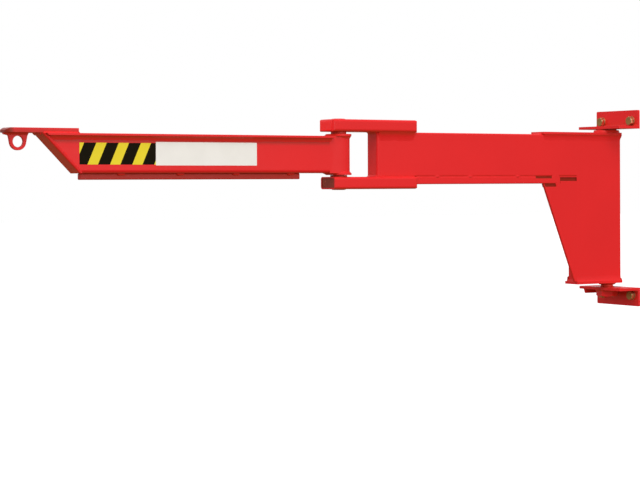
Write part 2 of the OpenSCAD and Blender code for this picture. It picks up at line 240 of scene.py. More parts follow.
steel = metal("turned_steel", (0.50, 0.50, 0.51), (0.40, 0.40, 0.41), (0.24, 0.36), ring=0.0006)
bronze = metal("sintered_bronze", (0.52, 0.34, 0.15), (0.42, 0.26, 0.11), (0.35, 0.5))
zinc = metal("yellow_zinc", (0.92, 0.66, 0.36), (0.70, 0.50, 0.26), (0.30, 0.45), scratch=0.09, ends=(0.34, 0.20, 0.07))


def vinyl(name, a, b_col, rough=0.42, spec=0.2):
    m, t, b = fresh(name)
    v = coord(t)
    col = mix(t, remap(t, noise(t, v, 22.0, 3.0), 0.3, 0.7, 0.0, 1.0), a, b_col)
    t.links.new(col, b.inputs["Base Color"])
    t.links.new(remap(t, noise(t, v, 120.0, 3.0), 0.3, 0.7, rough, rough + 0.12), b.inputs["Roughness"])
    t.links.new(bump(t, noise(t, v, 300.0, 2.0), 0.05, 0.0002), b.inputs["Normal"])
    b.inputs["Specular IOR Level"].default_value = spec
    return m


v_black = vinyl("vinyl_black", (0.0060, 0.0045, 0.0006), (0.0090, 0.0060, 0.0010), 0.5, 0.05)
v_yellow = vinyl("vinyl_yellow", (0.80, 0.66, 0.030), (0.76, 0.62, 0.026), 0.45, 0.12)
v_white = vinyl("vinyl_white", (0.83, 0.83, 0.80), (0.80, 0.80, 0.77))


strip_under = face("outer_cover_strip", 2, False)
# painted shade: the outer box darkens in a band just under the cover strip
red_box = paint("red_powder_coat_box", RED, RED_PAINTED_SHADE, under_shade_at=(-0.55, -0.95),
                shade=(strip_under - 0.021, strip_under - 0.011, (0.30, 0.024, 0.012)))
# painted shade: a darker copy of the red for the bar in the shadow under the outer box
red_rail = paint("red_powder_coat_rail_painted_shade", (0.50, 0.022, 0.014), RED_PAINTED_SHADE)
# painted shade: near-black red for strips set in slots and gaps where there is only shade
red_gap = paint("painted_shade_in_gaps", (0.26, 0.020, 0.008), (0.15, 0.012, 0.005), peel=0.1, spec=0.05)
# painted light: a copy of the red that turns brighter on faces looking toward the tip
red_end = paint("red_powder_coat_end_painted_light", RED, RED_PAINTED_SHADE, left=(0.90, 0.0150, 0.0165))
# painted shade: a dark copy of the red for the lower front cap of the fork, in the shadow of the outer arm
red_shaded_cap = paint("red_powder_coat_painted_shade", (0.30, 0.030, 0.010), (0.14, 0.020, 0.006), peel=0.2, grit=0.1, speck=(0.62, 0.10, 0.035))
# painted shade: a darker copy of the red for the tip bar, darker still toward its lower edge; it also darkens toward
# the bar's outer end
red_tip = paint("red_powder_coat_tip_painted_shade", tuple(c * 0.86 for c in RED), RED_PAINTED_SHADE,
                shade=(face("tip_top_bar", 2, True) - 0.002, face("tip_top_bar", 2, False) - 0.004, (0.30, 0.024, 0.012)),
                ends=(face("tip_top_bar", 0, False) + 0.010, face("tip_top_bar", 0, False) + 0.022))


# ------------------------------------------------------- piece from a mesh
def piece(name, verts, faces, mat, body, sharp=40, weld=0.0):
    me = bpy.data.meshes.new(name)
    me.from_pydata([tuple(v) for v in verts], [], faces)
    bm = bmesh.new()
    bm.from_mesh(me)
    if weld:
        bmesh.ops.remove_doubles(bm, verts=bm.verts, dist=weld)
    bmesh.ops.recalc_face_normals(bm, faces=bm.faces)
    for f in bm.faces:
        f.smooth = True
    bm.to_mesh(me)
    bm.free()
    me.set_sharp_from_angle(angle=math.radians(sharp))
    me.materials.append(mat)
    o = bpy.data.objects.new(name, me)
    scene.collection.objects.link(o)
    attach(o, body)
    return o


def sweep(name, frames, sections, body, mat, closed=False, sharp=50):
    verts, faces = [], []
    m, n = len(sections[0]), len(frames)
    for (o, u, v), sec in zip(frames, sections):
        for a, b in sec:
            verts.append(o + u * a + v * b)
    for i in range(n if closed else n - 1):
        j = (i + 1) % n
        for k in range(m):
            q = (k + 1) % m
            faces.append((i * m + k, i * m + q, j * m + q, j * m + k))
    if not closed:
        faces.append(tuple(range(m)))
        faces.append(tuple((n - 1) * m + k for k in range(m)))
    return piece(name, verts, faces, mat, body, sharp)


def ripple(phase):
    f = phase % 1.0
    return (math.sin(math.pi * f)) ** 0.7


def bead(name, pts, us, vs, leg, body, leg_v=None, closed=False, pitch=4.2, crown=0.12, root=0.5,
         seed=1, taper=True, wobble=0.05, mat=None, rip=0.045):
    """A fillet weld with stacked ripples. pts in metres; us and vs are the two leg directions."""
    rnd = random.Random(seed)
    # even steps along the path
    pts = [Vector(p) for p in pts]
    us = us if isinstance(us, list) else [us] * len(pts)
    vs = vs if isinstance(vs, list) else [vs] * len(pts)
    if closed:
        pts, us, vs = pts + pts[:1], us + us[:1], vs + vs[:1]
    lens = [0.0]
    for a, b in zip(pts, pts[1:]):
        lens.append(lens[-1] + (b - a).length)
    total = lens[-1]
    ripples = max(2, round(total / (pitch * MM)))
    steps = ripples * 4
    frames, sections = [], []
    leg_v = leg_v or leg
    q = 6
    k = 0
    w1, w2 = rnd.random() * 6, rnd.random() * 6
    for i in range(steps if closed else steps + 1):
        d = total * i / steps
        while k < len(lens) - 2 and lens[k + 1] < d:
            k += 1
        f = (d - lens[k]) / max(1e-9, lens[k + 1] - lens[k])
        o = pts[k].lerp(pts[k + 1], f)
        u = us[k].lerp(us[k + 1], f).normalized()
        v = vs[k].lerp(vs[k + 1], f).normalized()
        ph = i / 4
        size = 1 + wobble * (math.sin(ph * 0.9 + w1) * 0.6 + math.sin(ph * 0.37 + w2) * 0.7)
        if taper and not closed:
            e = min(d, total - d) / (leg * MM)
            size *= 0.25 + 0.75 * math.sqrt(max(0.0, 1 - (1 - min(1, e)) ** 2))
        sec = []
        for j in range(q):
            t = j / (q - 1)
            hump = 4 * t * (1 - t)
            r = ripple(ph + 0.45 * hump)
            g = size * (0.97 + rip * r)
            push = (crown + rip * r) * hump
            sec.append((leg * MM * g * ((1 - t) + push * 0.5), leg_v * MM * g * (t + push * 0.5)))
        sec.append((-root * MM, -root * MM))
        frames.append((o, u, v))
        sections.append(sec)
    return sweep(name, frames, sections, body, mat or red_weld, closed)


def circle(center, r, z, n=48, start=0.0, turn=2 * math.pi, endpoint=False):
    pts, rad = [], []
    for i in range(n + (1 if endpoint else 0)):
        a = start + turn * i / n
        d = Vector((math.cos(a), math.sin(a), 0))
        pts.append(Vector((center, 0, z)) + d * r)
        rad.append(d)
    return pts, rad


def round_outline(cx, z, w, h, r, n=6):
    """Outline and outward directions of a rounded rectangle w by h (x by y), in metres."""
    pts, out = [], []
    for sx, sy, a0 in ((1, 1, 0), (-1, 1, 90), (-1, -1, 180), (1, -1, 270)):
        c = Vector((cx + sx * (w / 2 - r), sy * (h / 2 - r), z))
        for i in range(n + 1):
            a = math.radians(a0 + 90 * i / n)
            d = Vector((math.cos(a), math.sin(a), 0))
            pts.append(c + d * r)
            out.append(d)
    return pts, out


def dome_ring(name, x, z, r, w, h, up, body, seed=1, mat=None, pitch=4.0):
    """A flat run of weld round the end of a pin."""
    pts, rad = circle(x, r, z, 60)
    rnd = random.Random(seed)
    n = round(2 * math.pi * r / (pitch * MM)) * 4
    frames, secs = [], []
    p0 = rnd.random() * 6
    for i in range(n):
        a = 2 * math.pi * i / n
        d = Vector((math.cos(a), math.sin(a), 0))
        o = Vector((x, 0, z)) + d * r
        sec = []
        for j in range(7):
            t = j / 6
            hump = 4 * t * (1 - t)
            g = 0.85 + 0.25 * ripple(i / 4 + 0.4 * hump) + 0.08 * math.sin(a * 3 + p0)
            sec.append(((t - 0.5) * w * MM, hump * h * MM * g))
        sec.append((0.0, -0.6 * MM))
        frames.append((o, d, up))
        secs.append(sec)
    return sweep(name, frames, secs, body, mat or red_weld, closed=True)


# --------------------------------------------------- looks of the CAD nodes
STEEL = {"upper_slew_pin", "lower_slew_pin"}
BRONZE = {"upper_slew_bush", "lower_slew_bush", "hub_upper_bush", "hub_lower_bush"}

smooth_group = bpy.data.node_groups.new("smooth_by_angle", "GeometryNodeTree")
smooth_group.interface.new_socket("Geometry", in_out="INPUT", socket_type="NodeSocketGeometry")
smooth_group.interface.new_socket("Geometry", in_out="OUTPUT", socket_type="NodeSocketGeometry")
g = smooth_group
g_in, g_out = g.nodes.new("NodeGroupInput"), g.nodes.new("NodeGroupOutput")
ang = g.nodes.new("GeometryNodeInputMeshEdgeAngle")
cmp_ = g.nodes.new("FunctionNodeCompare")
cmp_.data_type, cmp_.operation = "FLOAT", "LESS_EQUAL"
cmp_.inputs[1].default_value = math.radians(38)
sm_f = g.nodes.new("GeometryNodeSetShadeSmooth")
sm_f.domain = "FACE"
sm_e = g.nodes.new("GeometryNodeSetShadeSmooth")
sm_e.domain = "EDGE"
g.links.new(g_in.outputs[0], sm_f.inputs[0])
g.links.new(sm_f.outputs[0], sm_e.inputs[0])
g.links.new(ang.outputs["Unsigned Angle"], cmp_.inputs[0])
g.links.new(cmp_.outputs[0], sm_e.inputs["Shade Smooth"])
g.links.new(sm_e.outputs[0], g_out.inputs[0])

EDGE = {n: 0.7 for n in nodes}
EDGE.update({"upper_bracket_angle": 1.0, "lower_bracket_angle": 1.0, "mast_top_plate": 0.9,
             "mast_bottom_plate": 0.9, "mast_side_gusset": 0.5, "mast_post": 0.35, "inner_beam": 0.35,
             "tip_top_bar": 1.4, "lifting_eye": 1.8, "fork_upper_front_cap": 0.3, "fork_lower_front_cap": 0.4,
             "fork_upper_rear_cap": 0.3, "fork_lower_rear_cap": 0.3, "tip_end_plate": 0.4, "outer_bar": 2.6,
             "fork_upper_tube": 0.3, "fork_lower_tube": 0.6, "outer_cover_strip": 1.0, "inner_beam_end_cap": 0.25,
             "lower_pin_nut": 0.8, "lower_bracket_rib": 1.2})
FREE = {"outer_bar"}
for name, o in nodes.items():
    me = o.data
    if "custom_normal" in me.attributes:
        me.attributes.remove(me.attributes["custom_normal"])
    me.materials.clear()
    me.materials.append(steel if name in STEEL else bronze if name in BRONZE else red_tip if name == "tip_top_bar"
                        else red_shaded_cap if name == "fork_lower_front_cap" else red_end if name == "fork_upper_front_cap"
                        else red_box if name == "outer_beam" else red_rail if name == "outer_bar" else red)
    w = o.modifiers.new("join", "WELD")
    w.merge_threshold = 2e-5
    flat = o.modifiers.new("flat_faces", "DECIMATE")
    flat.decimate_type = "DISSOLVE"
    flat.angle_limit = math.radians(0.5)
    b = o.modifiers.new("edge", "BEVEL")
    b.width = EDGE[name] * MM * (0.5 if name in BRONZE else 1)
    b.segments = 3
    b.limit_method = "ANGLE"
    b.angle_limit = math.radians(40)
    b.use_clamp_overlap = name not in FREE
    b.harden_normals = False
    b.face_strength_mode = "FSTR_ALL"
    s = o.modifiers.new("smooth", "NODES")
    s.node_group = smooth_group
    wn = o.modifiers.new("face_normals", "WEIGHTED_NORMAL")
    wn.weight = 90
    wn.keep_sharp = True
    wn.use_face_influence = True

# ------------------------------------------------------------- weld beads
IN, OUT_ARM, WALL = "inner_arm", "outer_arm", "wall_mount"
post_lo, post_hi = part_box("mast_post")
beam_lo, beam_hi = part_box("inner_beam")
cap_lo, cap_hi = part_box("inner_beam_end_cap")
bar_lo, bar_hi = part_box("inner_bar")
gus_lo, gus_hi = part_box("mast_side_gusset")
igs_lo, igs_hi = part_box("mast_inner_gusset")
tpl_lo, tpl_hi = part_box("mast_top_plate")
bpl_lo, bpl_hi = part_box("mast_bottom_plate")
fu_lo, fu_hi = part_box("fork_upper_tube")
fl_lo, fl_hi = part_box("fork_lower_tube")
fr_lo, fr_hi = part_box("fork_upper_rear_cap")
ff_lo, ff_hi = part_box("fork_upper_front_cap")
ob_lo, ob_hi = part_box("outer_beam")
st_lo, st_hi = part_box("outer_cover_strip")
rb_lo, rb_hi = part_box("outer_bar")
tp_lo, tp_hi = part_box("tip_end_plate")
tb_lo, tb_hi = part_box("tip_top_bar")
eye_lo, eye_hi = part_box("lifting_eye")
hub_lo, hub_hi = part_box("hub_tube")
hd_lo, hd_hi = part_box("hub_top_disc")
lb_lo, lb_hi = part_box("lower_bracket_angle")
ub_lo, ub_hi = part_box("upper_bracket_angle")
nut_lo, nut_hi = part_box("lower_pin_nut")
low_under = nut_hi.z


def line(a, b, n=2):
    return [a.lerp(b, i / (n - 1)) for i in range(n)]


def V(x, y, z):
    return Vector((x, y, z))


# mast foot and head
foot_x = bpl_lo.x + 0.0008
SOFT = dict(crown=-0.10, rip=0.012)
for side, y, d in (("near", post_lo.y, NEAR), ("far", post_hi.y, FAR)):
    bead("weld_post_foot_" + side, line(V(post_hi.x - 0.002, y, post_lo.z), V(foot_x if side == "near" else post_lo.x - 0.003, y, post_lo.z)), d, UP,
         3.6, IN, leg_v=15.0, root=2.0, seed=3, crown=-0.30, rip=0.010)
bead("weld_post_foot_back", line(V(post_hi.x, -0.027, post_lo.z), V(post_hi.x, 0.027, post_lo.z)), X_IN, UP, 3.4, IN, leg_v=6.0, root=2.0, seed=4, **SOFT)
bead("weld_post_foot_front", line(V(post_lo.x, gus_hi.y - 0.001, post_lo.z), V(post_lo.x, 0.027, post_lo.z)), X_OUT, UP, 5.0, IN, leg_v=6.0, root=2.0, seed=4, **SOFT)
for side, y, d in (("near", post_lo.y, NEAR), ("far", post_hi.y, FAR)):
    bead("weld_post_head_" + side, line(V(post_hi.x - 0.001, y, post_hi.z), V(post_lo.x - 0.004, y, post_hi.z)), d, DOWN, 4.5, IN,
         leg_v=18.0, root=2.0, seed=5, crown=-0.28, rip=0.008)
    bead("weld_plate_on_beam_" + side, line(V(beam_hi.x, y, beam_hi.z), V(tpl_lo.x + 0.003, y, beam_hi.z)), d, DOWN,
         4.5, IN, leg_v=18.0, root=4.0, seed=6, crown=-0.28, rip=0.008)
bead("weld_plate_end", line(V(tpl_lo.x, -0.020, beam_hi.z), V(tpl_lo.x, 0.020, beam_hi.z)), X_OUT, UP, 5.0, IN, seed=7)
pts = line(V(post_hi.x, -0.027, post_hi.z), V(post_hi.x, 0.027, post_hi.z))
bead("weld_post_head_back", pts, X_IN, DOWN, 5.2, IN, leg_v=10.0, seed=8, crown=-0.10, rip=0.015)

# side gusset, flush with the post: the seam is filled and ground flat
gx = gus_hi.x


def ground_seam(name, path, across, outward, body, width=9.0, proud=0.22, seed=1):
    """A welded seam ground almost flush: a very shallow hump with feathered edges."""
    n = max(8, int((path[1] - path[0]).length / 0.006))
    frames, secs = [], []
    for i in range(n + 1):
        o = path[0].lerp(path[1], i / n)
        h = proud * MM * (0.9 + 0.1 * math.sin(i * 0.7 + seed))
        sec = []
        for j in range(9):
            t = j / 8
            sec.append(((t - 0.5) * 2 * width * MM, h * math.sin(math.pi * t) ** 1.2 - 0.05 * MM))
        sec.append((width * 0.3 * MM, -3.0 * MM))
        sec.append((-width * 0.3 * MM, -3.0 * MM))
        frames.append((o, across, outward))
        secs.append(sec)
    return sweep(name, frames, secs, body, red, sharp=60)


ground_seam("seam_gusset_on_post", [V(gx + 0.002, post_lo.y, post_lo.z + 0.001), V(gx + 0.002, post_lo.y, gus_hi.z)],
            X_OUT, NEAR, IN)
ground_seam("seam_beam_on_post_near", [V(gx + 0.002, post_lo.y, gus_hi.z), V(gx + 0.002, post_lo.y, post_hi.z - 0.004)],
            X_OUT, NEAR, IN)
ground_seam("seam_beam_on_post_far", [V(gx + 0.002, post_hi.y, beam_lo.z + 0.003), V(gx + 0.002, post_hi.y, post_hi.z - 0.004)],
            X_OUT, FAR, IN, proud=0.5)
bead("weld_gusset_inside", line(V(gx, gus_hi.y, post_lo.z + 0.002), V(gx, gus_hi.y, gus_hi.z - 0.016)), X_OUT, FAR, 4.5, IN, seed=9)
for side, y, d in (("near", igs_lo.y, NEAR), ("far", igs_hi.y, FAR)):
    bead("weld_inner_gusset_post_" + side, line(V(gx, y, igs_lo.z), V(gx, y, beam_lo.z - 0.003)), X_OUT, d, 4.5, IN, seed=10)
    bead("weld_inner_gusset_beam_" + side, line(V(gx - 0.004, y, beam_lo.z), V(bar_hi.x + 0.002, y, beam_lo.z)), d, DOWN, 4.5, IN, seed=11)
    bead("weld_inner_gusset_bar_" + side, line(V(bar_hi.x - 0.002, y, bar_lo.z), V(igs_lo.x + 0.002, y, bar_lo.z)), d, DOWN, 4.5, IN, seed=12)
bead("weld_beam_under_post", line(V(gx, gus_hi.y + 0.002, beam_lo.z), V(gx, 0.023, beam_lo.z)), X_OUT, DOWN, 6.0, IN, seed=13)
bead("weld_gusset_tab", line(V(bar_hi.x + 0.0006, gus_lo.y + 0.0068, bar_lo.z), V(bar_hi.x - 0.016, gus_lo.y + 0.0068, bar_lo.z)), NEAR, DOWN,
     6.2, IN, leg_v=4.5, seed=14)


def filled(name, s0, s1, y, d, z, h, body, seed=1, proud=0.12):
    """A groove filled flush with the faces beside it, its ends drawn out to points."""
    n = max(10, int((s1 - s0) / 1.5))
    frames, secs = [], []
    for i in range(n + 1):
        f = i / n
        s = s0 + (s1 - s0) * f
        e = min(f * (s1 - s0), (1 - f) * (s1 - s0)) / 5.0
        k = math.sqrt(max(0.0, 1 - (1 - min(1, e)) ** 2))
        sec = []
        for j in range(9):
            q = j / 8
            hump = math.sin(math.pi * q) ** 0.8
            sec.append(((-2.6 * (1 - k) + (proud + 0.03 * math.sin(i * 0.8 + seed)) * hump * k - 0.06) * MM,
                        (0.5 - q) * h * (0.55 + 0.45 * k) * MM))
        sec.append((-6.0 * MM, -h * 0.2 * MM))
        sec.append((-6.0 * MM, h * 0.2 * MM))
        frames.append((P(s, y / MM, z), d, UP))
        secs.append(sec)
    return sweep(name, frames, secs, body, red, sharp=60)


bar_top = bar_hi.z / MM


def backing(name, s0, s1, y0, y1, z0, z1, k=0.0, mat=None):
    """A plain strip inside a gap, by default in the near-black red of painted shade; k leans its outer end to follow a
    slanting edge.
    """
    c = [P(s0, y0, z0), P(s1 - k, y0, z0), P(s1, y0, z1), P(s0, y0, z1), P(s0, y1, z0), P(s1 - k, y1, z0), P(s1, y1, z1), P(s0, y1, z1)]
    f = [(0, 1, 2, 3), (4, 5, 6, 7), (0, 1, 5, 4), (1, 2, 6, 5), (2, 3, 7, 6), (3, 0, 4, 7)]
    return piece(name, c, f, mat or red_gap, IN, sharp=30)


g_near = gus_lo.y / MM
bs = S(bar_hi.x)
# dark strips of painted shade in the slots and along the side of the bar; the last strip is red filler
backing("painted_shade_slot_bar", bs + 10, S(gus_lo.x) - 2.0, g_near + 3.2, g_near + 12, bar_lo.z / MM - 10.5, bar_lo.z / MM - 0.05, k=3.6)
backing("painted_shade_slot_beam", S(gus_hi.x) + 3.0, bs + 0.4, g_near + 2.6, g_near + 12, beam_lo.z / MM - 14.5, beam_lo.z / MM - 0.05)
backing("painted_shade_gap_bar", 229.5, 288.0, g_near - 0.12, g_near + 5.0, bar_top - 5.6, bar_top - 0.4)
backing("seam_over_slot", S(gus_hi.x) + 1.0, bs + 2.0, g_near - 0.04, g_near + 6.0, beam_lo.z / MM - 2.9, beam_lo.z / MM + 0.4, mat=red)
for side, y, d in (("near", beam_lo.y, NEAR), ("far", beam_hi.y, FAR)):
    filled("seam_bar_start_" + side, S(bar_hi.x) + 0.5, 229, y, d, bar_top + 0.6, 9.0, IN, seed=3)
# the bar's first stretch is welded flush to the gusset's tab
filled("seam_bar_on_gusset", S(bar_hi.x) - 1.5, S(bar_hi.x) + 16.5, gus_lo.y, NEAR, bar_lo.z / MM, 7.0, IN, seed=6)


# the bar under the box beam: weld laid in the groove between the round corners
def groove(name, s0, s1, y, d, lumps=(), depth=0.9, seed=1):
    a, b = V(-(s0 + OFF) * MM, y, beam_lo.z), V(-(s1 + OFF) * MM, y, beam_lo.z)
    total = (b - a).length
    steps = int(total / (4.4 * MM)) * 4
    frames, secs = [], []
    for i in range(steps + 1):
        o = a.lerp(b, i / steps)
        s = s0 + (s1 - s0) * i / steps
        swell = sum(math.exp(-((s - c) / 7.0) ** 2) for c in lumps)
        e = min(i, steps - i) / 6
        ends = math.sqrt(max(0, 1 - (1 - min(1, e)) ** 2))
        sec = []
        for j in range(7):
            t = j / 6
            hump = 4 * t * (1 - t)
            r = ripple(i / 4 + 0.4 * hump)
            out_y = -(2.3 - 1.2 * hump) * (0.4 + 0.6 * ends) - 3.2 * (1 - ends) * hump - depth + 0.5 * r * hump + 2.6 * swell * hump
            z = (5.2 - 9.6 * t) + 1.2 * swell * (0.5 - t) * 2
            sec.append((out_y * MM, z * MM))
        sec.append((-7.5 * MM, -1.5 * MM))
        sec.append((-7.5 * MM, 1.5 * MM))
        frames.append((o, d, UP))
        secs.append(sec)
    return sweep(name, frames, secs, IN, red_weld, sharp=60)


s_bar0, s_bar1 = S(bar_hi.x), S(bar_lo.x)
for side, y, d in (("near", beam_lo.y, NEAR), ("far", beam_hi.y, FAR)):
    groove("weld_bar_groove_long_" + side, 286, s_bar1 - 1, y, d, (354, 523, 637), depth=0.3, seed=2)
bead("weld_bar_end", line(V(bar_hi.x, -0.018, bar_hi.z), V(bar_hi.x, 0.018, bar_hi.z)), X_IN, DOWN, 5.0, IN, seed=15)

# fork tubes on the beam end
end_x = cap_lo.x
for lvl, z, v, tube_lo in (("upper", beam_hi.z, DOWN, fu_lo), ("lower", beam_lo.z, UP, fl_lo)):
    bead("weld_fork_%s_end" % lvl, line(V(end_x + 0.001, -0.0235, z), V(end_x + 0.001, 0.0235, z)), X_OUT, v, 8.0, IN,
         leg_v=7.0, root=3.0, seed=16, crown=-0.15, rip=0.02)
    for side, y, d in (("near", beam_lo.y, NEAR), ("far", beam_hi.y, FAR)):
        up_ = lvl == "upper"
        bead("weld_fork_%s_%s" % (lvl, side), line(V(fr_hi.x - 0.004, y, z), V(end_x + (0.003 if up_ else 0.0), y, z)), d, v, 9.0 if up_ else 3.0, IN,
             leg_v=24.0 if up_ else 3.0, root=3.0, seed=17, crown=-0.30, rip=0.006)
bead("weld_fork_upper_back", line(V(fr_hi.x, -0.021, beam_hi.z), V(fr_hi.x, 0.021, beam_hi.z)), X_IN, UP, 6.0, IN, seed=18)
bead("weld_fork_lower_back", line(V(fr_hi.x, -0.022, bar_lo.z), V(fr_hi.x, 0.022, bar_lo.z)), X_IN, DOWN, 6.0, IN, seed=19)
for side, y, d in (("near", beam_lo.y, NEAR), ("far", beam_hi.y, FAR)):
    bead("weld_bar_fork_" + side, line(V(fr_hi.x, y, bar_lo.z + 0.003), V(fr_hi.x, y, bar_hi.z - 0.003)), X_IN, d, 4.0, IN, seed=20)
dome_ring("weld_elbow_pin_top", ELBOW_X, fu_hi.z, 0.0170, 5.0, 1.6, UP, IN, seed=21)
dome_ring("weld_elbow_pin_bottom", ELBOW_X, fl_lo.z, 0.0170, 5.0, 1.6, DOWN, IN, seed=22)

# hub and outer box
for side, sgn in (("near", -1), ("far", 1)):
    # the tube runs out tangent to the box: the seam is filled and ground to one smooth face
    prof = [(-7.0, 29.36), (-4.5, 29.86), (-2.0, 30.14)]
    for k in range(13):
        f = k / 12
        prof.append((0.5 + 46.0 * f, 28.0 + 2.18 * (0.5 + 0.5 * math.cos(math.pi * f))))
    prof += [(46.5, 27.2), (-7.0, 28.2)]
    n = int((st_hi.z - ob_lo.z) / (4 * MM))
    frames, secs = [], []
    for i in range(n + 1):
        o = V(ELBOW_X, 0, ob_lo.z + (st_hi.z - ob_lo.z) * i / n)
        w_ = 0.05 * math.sin(i * 0.9) + 0.03 * math.sin(i * 2.1)
        secs.append([(a * MM, (b + (w_ if 0 < a < 40 and b > 28.3 else 0)) * MM) for a, b in prof])
        frames.append((o, X_OUT, V(0, sgn, 0)))
    sweep("weld_hub_side_" + side, frames, secs, OUT_ARM, red, sharp=60)
# fillets that carry the strip and the underside of the box up to the rims of the discs
for nm, z, v, turn, leg_, legv_ in (("top", st_hi.z, UP, 66, 7.5, 5.6), ("bottom", ob_lo.z, DOWN, 52, 11.0, 4.8)):
    a0, a1 = math.radians(180 - turn), math.radians(180 + turn)
    pts, rad = circle(ELBOW_X, hd_hi.x - ELBOW_X - 0.0004, z, 36, a0, a1 - a0, True)
    bead("weld_disc_rim_" + nm, pts, rad, v, leg_, OUT_ARM, leg_v=legv_, root=1.5, seed=61, crown=-0.1, rip=0.02)
pts, rad = circle(ELBOW_X, 0.03015, hub_hi.z, 60)
bead("weld_hub_top_ring", pts, rad, DOWN, 4.4, OUT_ARM, leg_v=7.0, closed=True, seed=23, crown=-0.1, rip=0.02)
pts, rad = circle(ELBOW_X, 0.03015, hub_lo.z, 60)
bead("weld_hub_bottom_ring", pts, rad, UP, 4.4, OUT_ARM, leg_v=5.0, closed=True, seed=24, crown=-0.1, rip=0.02)
for side, y, d in (("near", ob_lo.y, NEAR), ("far", ob_hi.y, FAR)):
    bead("weld_strip_" + side, line(V(st_hi.x - 0.004, y, st_lo.z), V(tp_lo.x + 0.020, y, st_lo.z)), d, DOWN, 8.6, OUT_ARM,
         leg_v=11.0, root=2.5, seed=25, crown=-0.22, rip=0.02, pitch=5.5)
bead("weld_strip_hub_end", line(V(st_hi.x, -0.026, st_hi.z), V(st_hi.x, 0.026, st_hi.z)), X_IN, DOWN, 4.0, OUT_ARM, seed=31)

# slanting end plate
h_plate = tp_hi.z - tp_lo.z
plate_in_low = V(tp_hi.x, 0, tp_lo.z)       # inner face, low end
slant = V(-h_plate, 0, h_plate).normalized()
inward = V(1, 0, 1).normalized()
for side, y, d in (("near", ob_lo.y, NEAR), ("far", ob_hi.y, FAR)):
    a = V(tp_hi.x, y, tp_lo.z) + slant * 0.004
    b_ = V(tp_hi.x, y, tp_lo.z) + slant * (h_plate * math.sqrt(2) - 0.010)
    bead("weld_end_plate_" + side, [a, b_], inward, d, 3.0, OUT_ARM, leg_v=1.4, seed=32)

# bar and eye on the tip
eye_mid = [m for m in frame["record"]["mounts"] if m["name"] == "lifting_eye_hole"][0]["pos_m"]
eye_root_x = eye_mid[0] - (eye_hi.x - eye_mid[0]) + 0.0012
for side, y, d in (("near", tb_lo.y, NEAR), ("far", tb_hi.y, FAR)):
    bead("weld_tip_bar_" + side, line(V(tb_hi.x - 0.003, y, tb_lo.z), V(tp_lo.x + 0.004, y, tb_lo.z)), d, UP, 4.0, OUT_ARM, seed=34)
bead("weld_tip_bar_end", line(V(tb_hi.x, -0.021, tb_lo.z), V(tb_hi.x, 0.021, tb_lo.z)), X_IN, UP, 8.0, OUT_ARM, leg_v=7.0, seed=35)
bead("weld_tip_under", line(V(tp_lo.x, -0.023, tb_lo.z), V(tp_lo.x, 0.023, tb_lo.z)), X_OUT, DOWN, 6.0, OUT_ARM, seed=36)
for side, y, d in (("near", eye_lo.y, NEAR), ("far", eye_hi.y, FAR)):
    bead("weld_eye_" + side, line(V(eye_hi.x, y, tb_lo.z), V(eye_lo.x, y, tb_lo.z)), d, DOWN, 5.0, OUT_ARM, seed=37)
bead("weld_eye_right", line(V(eye_hi.x - 0.0008, -0.0040, tb_lo.z), V(eye_hi.x - 0.0008, 0.0040, tb_lo.z)), X_IN, DOWN, 4.5, OUT_ARM, leg_v=7, seed=38, taper=False, crown=-0.3)
bead("weld_eye_left", line(V(eye_root_x, -0.0040, tb_lo.z - 0.0026), V(eye_root_x, 0.0040, tb_lo.z - 0.0026)), X_OUT, DOWN, 4.5, OUT_ARM, leg_v=6, seed=39, taper=False, crown=-0.3)

# bar under the outer box: short stitches
for side, y, d in (("near", rb_lo.y, NEAR), ("far", rb_hi.y, FAR)):
    for k, s in enumerate((1106, 1273, 1437, 1606)):
        bead("weld_bar_stitch_%s_%d" % (side, k), line(P(s - 11, y / MM, rb_hi.z / MM), P(s + 11, y / MM, rb_hi.z / MM)), d, DOWN, 6.0, OUT_ARM, seed=40 + k, crown=0.5)

# wall brackets
# weld round the six flats of the nut
pts, rad = [], []
for i in range(72):
    a = 2 * math.pi * i / 72
    k = (a - math.radians(19)) % (math.pi / 3) - math.pi / 6
    d = Vector((math.cos(a), math.sin(a), 0))
    pts.append(V(SLEW_X, 0, low_under) + d * min(0.0275 / math.cos(k), 0.0312))
    rad.append(d)
bead("weld_nut", pts, rad, DOWN, 4.5, WALL, closed=True, seed=50)
for n_ in ("lower_bracket_rib",):
    lo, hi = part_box(n_)
    for side, y, d in (("a", lo.y, NEAR), ("b", hi.y, FAR)):
        bead("weld_%s_%s" % (n_, side), line(V(hi.x - 0.002, y, hi.z), V(lo.x + 0.004, y, hi.z)), d, DOWN, 3.2, WALL, seed=51)
col_lo, col_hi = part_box("lower_thrust_collar")
pts, rad = circle(SLEW_X, (col_hi.x - col_lo.x) / 2, lb_hi.z, 60)
bead("weld_lower_collar", pts, rad, UP, 3.0, WALL, closed=True, seed=53)
dome_ring("weld_lower_pin_end", SLEW_X, nut_lo.z, 0.0130, 4.4, 0.8, DOWN, WALL, seed=54)
dome_ring("weld_upper_pin_end", SLEW_X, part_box("upper_slew_pin")[1].z, 0.0130, 5.0, 1.2, UP, WALL, seed=55)


# ------------------------------------------------------------------ bolts
def lathe(profile, origin, axis, u, n=48):
    """Rings of a turned profile [(r, h)] in metres about an axis."""
    v = axis.cross(u)
    verts, faces = [], []
    for r, h in profile:
        for i in range(n):
            a = 2 * math.pi * i / n
            verts.append(origin + axis * h + (u * math.cos(a) + v * math.sin(a)) * r)
    m = len(profile)
    for k in range(m - 1):
        for i in range(n):
            j = (i + 1) % n
            faces.append((k * n + i, k * n + j, (k + 1) * n + j, (k + 1) * n + i))
    faces.append(tuple(range(n)))
    faces.append(tuple((m - 1) * n + i for i in range(n)))
    return verts, faces


